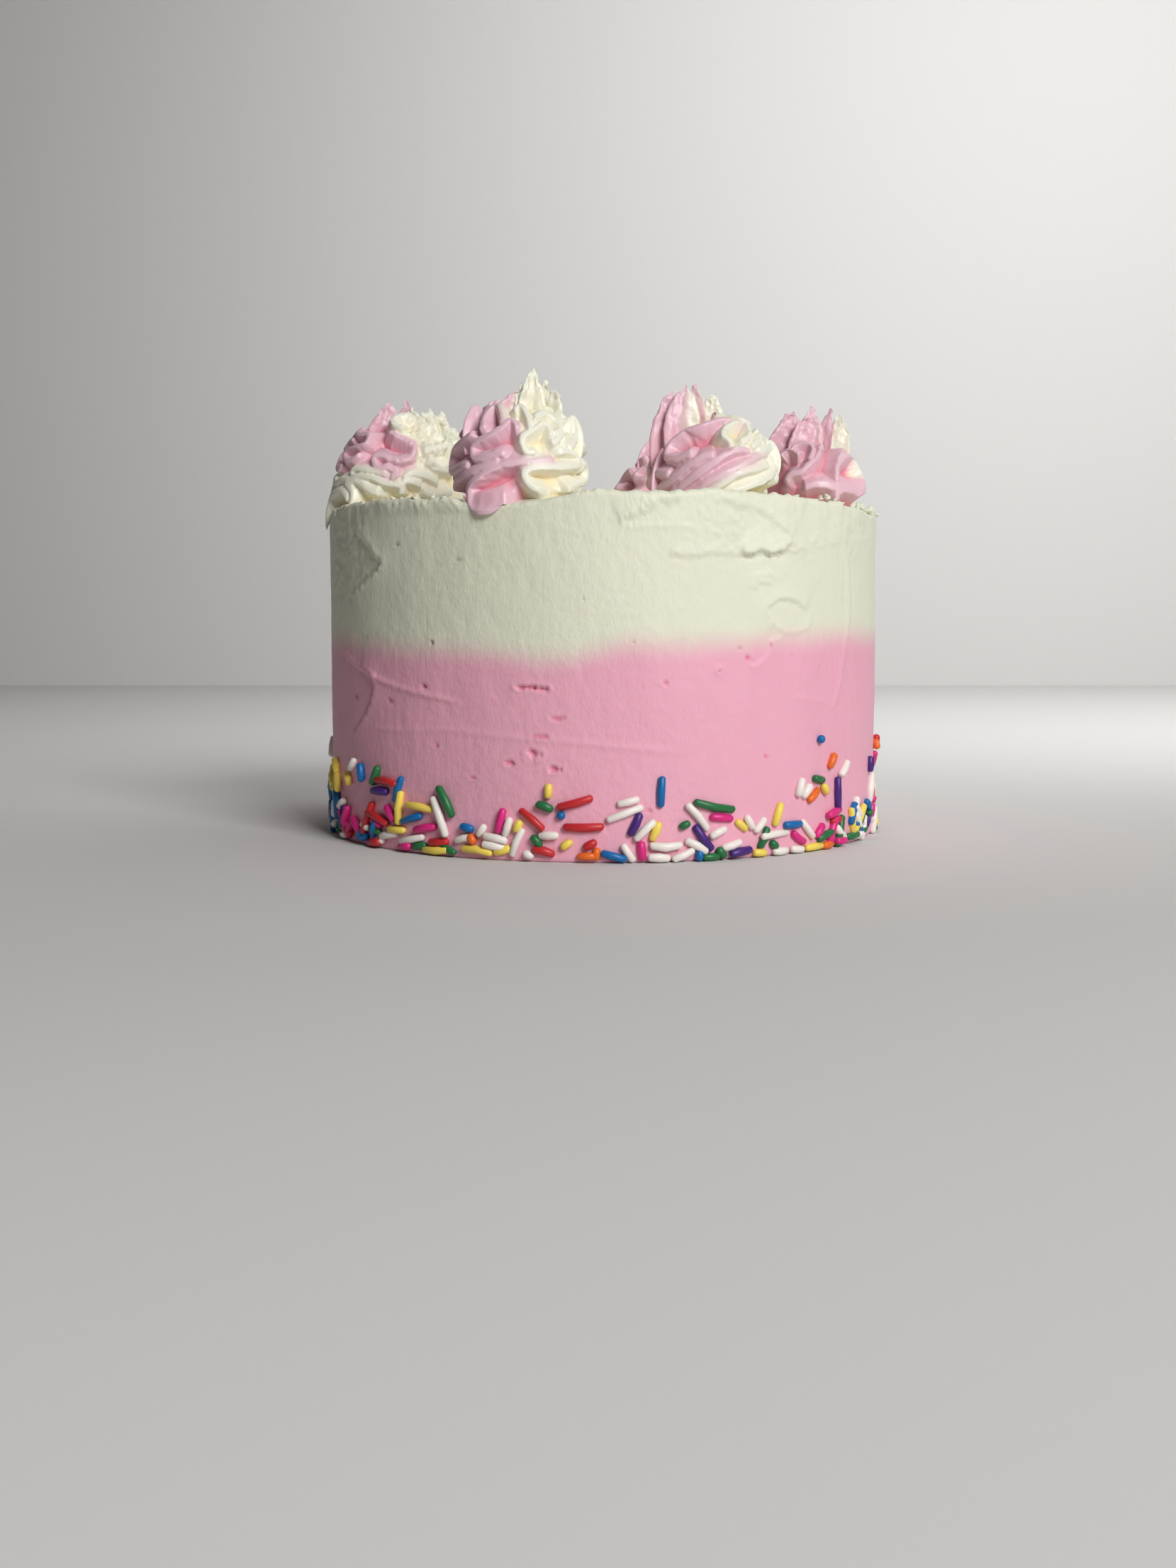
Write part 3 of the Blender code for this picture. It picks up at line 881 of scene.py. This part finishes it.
def makeSwirl(shape, material):
    low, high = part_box(shape["node"])
    rng = random.Random(shape["node"])
    middle = Vector(((low.x + high.x) / 2 / mm, (low.y + high.y) / 2 / mm, 0))
    rows = swirl["rows"]
    outerRows = rows - swirl["undersideRows"]
    outline = swirlOutline(shape, outerRows + 1)

    mesh, turn, row = makeSheet(shape["node"] + "_piped", swirl["columns"], rows)
    turn = turn - swirl["frontBias"] * np.sin(turn)
    outerRow = np.minimum(row, outerRows)
    baseR = outline["radius"][outerRow]
    baseZ = outline["up"][outerRow]
    outR = outline["outR"][outerRow]
    outZ = outline["outZ"][outerRow]
    climb = outline["climb"][outerRow]
    scale = baseR + outR * swirl["lipHeight"]
    spot = aroundAxis(baseR, turn, baseZ)
    waver = noiseField(spot, 5, shape["turned"], 2)
    lump = noiseField(spot, 3, shape["turned"] + 1, 2)
    crackle = noiseField(spot, 1.3, shape["turned"] + 2, 2)

    lift = np.zeros(row.shape)
    pinkness = np.zeros(row.shape)
    weight = np.full(row.shape, 1e-6)
    lipEdgeHighlight = np.zeros(row.shape)
    for pink, line in frontLips(shape, outline) + helixLips(shape, outline, rng):
        centre = sum(point[0] for point in line) / len(line)
        halfTurn = (max(point[0] for point in line) - min(point[0] for point in line)) / 2
        wrapped = (turn - centre + math.pi) % math.tau - math.pi + centre
        near = np.abs(wrapped - centre) < halfTurn + swirl["around"] / np.maximum(scale, 4)
        near &= climb > min(point[1] for point in line) - swirl["around"]
        near &= climb < max(point[1] for point in line) + swirl["around"]
        gap, _, share, over = distanceTo(line, wrapped[near], climb[near], scale[near])
        gap = np.abs(gap + waver[near] * 0.12 + crackle[near] * swirl["crackle"])
        ends = fadeEnds(share, 0.08)
        reach = swirl["reachBelow"] + (swirl["reachAbove"] - swirl["reachBelow"]) * (0.5 + 0.5 * over)
        flank = np.clip((gap - swirl["lipHalf"]) / reach, 0, 1)
        height = swirl["lipHeight"] * (0.45 + 0.55 * ends) * (1 - flank) ** swirl["hollowness"]
        lift[near] = np.maximum(lift[near], height)
        closeness = np.exp(-gap / 1.1)
        pinkness[near] += closeness * pink
        weight[near] += closeness
        # a thin painted highlight along each lip's edge
        lipEdgeHighlight[near] = np.maximum(lipEdgeHighlight[near], bell(gap, 1.2) * (0.5 + 0.5 * ends))
    lift = lift + lump * 0.08
    for bearing, halfAngle, lowest, highest, amount in shape["fluff"]:
        share = aroundShare(turn, bearing, halfAngle) * smoothStep(lowest - 2, lowest + 2, baseZ)
        share = share * smoothStep(highest + 2, highest - 2, baseZ)
        billows = 1.6 * np.abs(noiseField(spot, 4.2, 31, 1)) + 0.8 * np.abs(noiseField(spot, 1.7, 32, 2))
        lift = lift * (1 - 0.4 * share) + share * amount * (billows + 0.8)

    newR = baseR + outR * lift
    newZ = baseZ + outZ * lift
    under = np.clip((row - outerRows) / swirl["undersideRows"], 0, 1)
    for bearing, halfAngle, out, down in shape["hanging"]:
        share = aroundShare(turn, bearing, halfAngle) * (1 - smoothStep(1, 10, newZ))
        newR = newR + out * share
        newZ = newZ - down * share
    newR = newR * (1 - under)
    writePoints(mesh, aroundAxis(newR, turn, newZ) + np.array(middle))
    addAttribute(mesh, "pink", pinkness / weight)
    # painted light: raised lips get the lit colour, low valleys get painted shade
    raised = smoothStep(0.04, 0.55, lift / swirl["lipHeight"])
    addAttribute(mesh, "lipPaintedLight", 0.75 * raised + 0.25 * lipEdgeHighlight)

    closeMesh(mesh, 1, [makePeak(middle, peak) for peak in shape["peaks"]])
    moved = readPoints(mesh)
    fromAxis = np.hypot(moved[:, 0], moved[:, 1])
    floor = -1.9 - 2.6 * smoothStep(cakeRadius + 0.2, cakeRadius + 1.2, fromAxis)
    sag = 2.2 * (1 - smoothStep(0, 1.2, moved[:, 2]))
    moved[:, 2] = np.maximum(moved[:, 2] - sag, floor) + cakeHeight
    writePoints(mesh, moved * mm)
    piece = addPiece(shape["node"] + "_piped", mesh, material)
    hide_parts(shape["node"])
    print(shape["node"], "piped:", len(mesh.polygons), "faces")


sprinkle = {
    "loose": 300,
    "thick": 2.15,
    "sides": 8,
    "rings": 6,
    "colours": {
        "red": (200, 45, 50), "orange": (238, 112, 40), "yellow": (246, 219, 96), "green": (38, 112, 64),
        "blue": (14, 106, 172), "purple": (74, 38, 122), "pink": (222, 44, 130), "white": (244, 236, 228),
    },
    "roughness": 0.38,
    "shine": 0.45,
}

# Sprinkles stuck to the front: (colour, degrees round, mm up, degrees tilted, mm long).
frontSprinkles = (
    ("red", -46, 17.5, -5, 9.5), ("purple", -48, 15, 2, 7), ("blue", -42.5, 15.9, 68, 7.4),
    ("yellow", -42, 11.3, 82, 9), ("yellow", -37, 12, -7, 9), ("blue", -39, 8.8, 15, 7.5),
    ("pink", -35.6, 6.7, 12, 7.5), ("white", -32, 10, -65, 11), ("green", -30.7, 13.9, -60, 9),
    ("yellow", -43, 5.6, 2, 6.4), ("red", -49, 8, -16, 10), ("red", -52.5, 7.5, 62, 10),
    ("pink", -45, 9.7, -45, 5.3), ("blue", -26, 7.7, -10, 4), ("red", -32.4, 3.6, 4, 6.3),
    ("white", -23, 7.3, 53, 3.8), ("white", -26.6, 4.9, 12, 5.8), ("pink", -19.3, 9.9, 74, 6.5),
    ("yellow", -16, 8.7, 69, 3.4), ("white", -18, 8.4, 74, 5.2), ("white", -20.3, 5.4, -11, 6.6),
    ("white", -20.6, 3.6, -11, 6.2), ("red", -13.4, 10.4, -38, 8), ("white", -16, 4.7, 67, 7.7),
    ("orange", -25, 5, -56, 3), ("yellow", -33, 1.7, 3, 8.5), ("green", -30, 2.2, -22, 5),
    ("yellow", -24, 2.1, -4, 8.8), ("yellow", -19, 2.6, 16, 4.8), ("pink", -40.5, 1.7, 5, 4.7),
    ("green", -37, 2.1, 8, 4.8), ("red", -5.5, 14.8, 16, 9.2), ("green", -11, 13.6, -19, 4.6),
    ("blue", -8, 11.6, 1, 2.2), ("yellow", -10.3, 17.5, 85, 3.8), ("red", -4, 8.9, 1, 10.1),
    ("white", -10.3, 6.6, 4, 5.4), ("green", -12.5, 5.2, -49, 3.8), ("red", -11.2, 2.6, -13, 5.8),
    ("yellow", -7, 4.5, 36, 3.4), ("red", -2.8, 4.6, 25, 3.7), ("orange", -3.5, 1.7, 1, 4.6),
    ("orange", -1.7, 2.3, 80, 3.3), ("white", -14, 1.8, -18, 2.9), ("white", 4, 15, 12, 5.7),
    ("white", 3.4, 12.1, 20, 9.6), ("purple", 5.2, 9.5, 65, 6.3), ("white", 7, 8, 45, 7),
    ("yellow", 8.9, 7.7, 65, 5.2), ("pink", 6.4, 3, -85, 5), ("white", 4, 2.6, -55, 5.3),
    ("blue", 1.4, 1.8, -15, 6.6), ("white", 10.8, 4.4, 1, 8.3), ("white", 9.5, 1.2, -3, 5.8),
    ("white", 14, 1.7, 23, 6.3), ("blue", 10, 17.3, 88, 7.7), ("green", 20, 13.6, -11, 11.5),
    ("white", 16.6, 10.9, -49, 8.8), ("pink", 21.4, 10.5, -7, 6.5), ("green", 14.3, 9.1, 23, 3),
    ("purple", 17.8, 5.8, -54, 7.9), ("white", 16.5, 3.8, -30, 6.6), ("white", 20.7, 6.9, 26, 5.1),
    ("blue", 17, 1.4, 90, 2.8), ("green", 19.3, 1.1, 2, 4.8), ("green", 21.3, 1.9, -48, 3.4),
    ("white", 23.5, 3.7, 15, 5.9), ("yellow", 25.5, 8.3, -38, 4.2), ("white", 27.2, 9, -56, 4.2),
    ("white", 29.6, 8.1, 43, 5), ("yellow", 33.6, 10.5, 71, 6.3), ("green", 30.3, 5, 66, 5.9),
    ("purple", 25.4, 1.8, 7, 7), ("yellow", 29.5, 1.2, -4, 4.2), ("blue", 37.4, 7.6, -1, 6.5),
    ("white", 33, 5.4, 4, 9.8), ("green", 32.7, 2.9, -36, 3), ("pink", 39, 4.2, -33, 5.9),
    ("white", 34.2, 1.3, 2, 5), ("white", 38.5, 1.2, -5, 4.6), ("white", 41.3, 6, -45, 7),
    ("pink", 45, 5.2, 45, 4.7), ("pink", 49.6, 9.3, 12, 7), ("red", 51, 7.2, 5, 6),
    ("green", 47, 3.6, 13, 7), ("yellow", 43.3, 1.2, 0, 7.5), ("orange", 47.6, 1.2, 3, 4.8),
    ("white", 39.2, 16.8, 69, 5.1), ("white", 41, 15.7, 48, 4.5), ("green", 44.6, 18.4, -10, 5),
    ("orange", 43, 14.6, 35, 5.5), ("yellow", 46.4, 15.7, -47, 3.6), ("white", 53.5, 20.4, 37, 6),
    ("blue", 45, 28.6, 75, 1.8), ("white", -38.8, 3.7, 12, 8.5), ("white", -45.5, 3.9, 11, 6.9),
    ("red", -50, 1.3, 6, 7), ("blue", -50, 5, 71, 4.6), ("blue", 58, 8, 66, 6.5),
    ("purple", 69, 20, 90, 4.5),
)


def looseSprinkles():
    # the rest of the band, thick at the foot and thinner higher up, on the sides and the back
    rng = random.Random(41)
    kinds = ["white"] * 5 + ["red", "orange"] + ["yellow"] * 2 + ["green"] * 2 + ["blue"] * 2
    kinds += ["purple"] + ["pink"] * 2
    found = []
    for _ in range(sprinkle["loose"]):
        around = rng.uniform(48, 312)
        up = min(1.2 + rng.expovariate(1 / 5.5), 25)
        around = around if around <= 180 else around - 360
        tilt = rng.gauss(0, 30) if up < 3 else rng.uniform(-90, 90)
        found.append((rng.choice(kinds), around, up, tilt, rng.uniform(4, 9.5)))
    return found


def makeSprinkles():
    rng = random.Random(7)
    groups = {name: [] for name in sprinkle["colours"]}
    for row in list(frontSprinkles) + looseSprinkles():
        groups[row[0]].append(row)
    for name, rows in groups.items():
        bm = bmesh.new()
        for _, around, up, tilt, length in rows:
            thick = sprinkle["thick"] * rng.uniform(0.93, 1.08)
            made = bmesh.ops.create_uvsphere(
                bm, u_segments=sprinkle["sides"], v_segments=sprinkle["rings"], radius=thick / 2,
            )["verts"]
            half = max(length - thick, 0.1) / 2
            bend = rng.gauss(0, 0.35) * half * 0.25
            lean = math.radians(tilt + rng.gauss(0, 1))
            reach = half * abs(math.sin(lean)) + thick / 2
            height = max(up, reach + 0.05)
            turn = math.radians(around)
            sunk = rng.uniform(0.15, 0.5) * thick / 2
            outwards = cakeRadius + thick / 2 - sunk + max(0, 2.5 - height) * rng.uniform(0, 0.5)
            tipping = rng.gauss(0, 5)
            place = (
                Matrix.Rotation(turn, 4, "Z")
                @ Matrix.Translation((0, -outwards, height))
                @ Matrix.Rotation(math.radians(tipping), 4, "Z")
                @ Matrix.Rotation(-lean, 4, "Y")
            )
            for vert in made:
                x = vert.co.z
                x = x + math.copysign(half, x) if abs(x) > 1e-5 else 0.0
                lump = 1 + 0.06 * noise.noise(Vector((x * 0.5 + around, up, tilt)))
                bow = bend * (1 - (x / (half + thick / 2)) ** 2)
                vert.co = place @ Vector((x, vert.co.x * lump, vert.co.y * lump + bow))
        bmesh.ops.scale(bm, vec=(mm, mm, mm), verts=bm.verts)
        mesh = meshFrom(bm, "sprinkles_" + name)
        closeMesh(mesh)
        paint = Paint("sprinkle_" + name)
        material = paint.finish(
            Base_Color=linear(*sprinkle["colours"][name]),
            Roughness=sprinkle["roughness"],
            Specular_IOR_Level=sprinkle["shine"],
        )
        addPiece("sprinkles_" + name, mesh, material)
    print("sprinkles:", sum(len(rows) for rows in groups.values()))


stage = {"size": 3.0, "behind": 1.2, "colour": linear(214, 213, 211), "roughness": 0.9, "ambient": 0.035}
lamps = (
    {"name": "window", "from": (0.53, -0.99, 0.68), "to": (0, 0, 0.06), "size": 0.5, "power": 12.8},
    {"name": "ceiling", "from": (0.5, -0.3, 1.4), "to": (0, 0, 0.06), "size": 1.2, "power": 2.0},
    {"name": "backdropLamp", "from": (0.5, 0.45, 0.7), "to": (0.35, 1.3, 0.05), "size": 1.0, "power": 7.5},
)
viewpoint = {"place": (-0.0043, -0.451, 0.0556), "pitch": 5.55, "lens": 35.8, "sensor": 36}


def makeStage():
    bm = bmesh.new()
    size = stage["size"]
    bmesh.ops.create_grid(bm, x_segments=1, y_segments=1, size=size)
    bmesh.ops.translate(bm, vec=(0, stage["behind"] - size, 0), verts=bm.verts)
    back = [edge for edge in bm.edges if all(v.co.y > 0 for v in edge.verts)]
    made = bmesh.ops.extrude_edge_only(bm, edges=back)["geom"]
    bmesh.ops.translate(bm, vec=(0, 0, size), verts=[v for v in made if isinstance(v, bmesh.types.BMVert)])
    mesh = meshFrom(bm, "floor")
    floor = bpy.data.objects.new("floor", mesh)
    bpy.context.scene.collection.objects.link(floor)
    paint = Paint("backdrop")
    mesh.materials.append(paint.finish(Base_Color=stage["colour"], Roughness=stage["roughness"]))


def makeLights():
    for row in lamps:
        aim = Vector(row["to"])
        light = bpy.data.lights.new(row["name"], "AREA")
        light.energy = row["power"]
        light.size = row["size"]
        lamp = bpy.data.objects.new(row["name"], light)
        lamp.location = row["from"]
        lamp.rotation_euler = (aim - Vector(row["from"])).to_track_quat("-Z", "Y").to_euler()
        bpy.context.scene.collection.objects.link(lamp)
    world = bpy.data.worlds.new("world")
    world.use_nodes = True
    world.node_tree.nodes["Background"].inputs[0].default_value = (1, 1, 1, 1)
    world.node_tree.nodes["Background"].inputs[1].default_value = stage["ambient"]
    bpy.context.scene.world = world


def makeCamera():
    camera = bpy.data.cameras.new("camera")
    camera.lens = viewpoint["lens"]
    camera.sensor_width = viewpoint["sensor"]
    camera.clip_start = 0.01
    holder = bpy.data.objects.new("camera", camera)
    holder.location = viewpoint["place"]
    holder.rotation_euler = (math.radians(90 - viewpoint["pitch"]), 0, 0)
    bpy.context.scene.collection.objects.link(holder)
    bpy.context.scene.camera = holder
    bpy.context.scene.view_settings.view_transform = "Standard"


sideMaterial = makeSideMaterial()
makeCake(sideMaterial)
makeCrumbs(sideMaterial)
swirlMaterial = makeSwirlMaterial()
for shape in swirls:
    makeSwirl(shape, swirlMaterial)
makeSprinkles()
makeStage()
makeLights()
makeCamera()
print("scene ready")
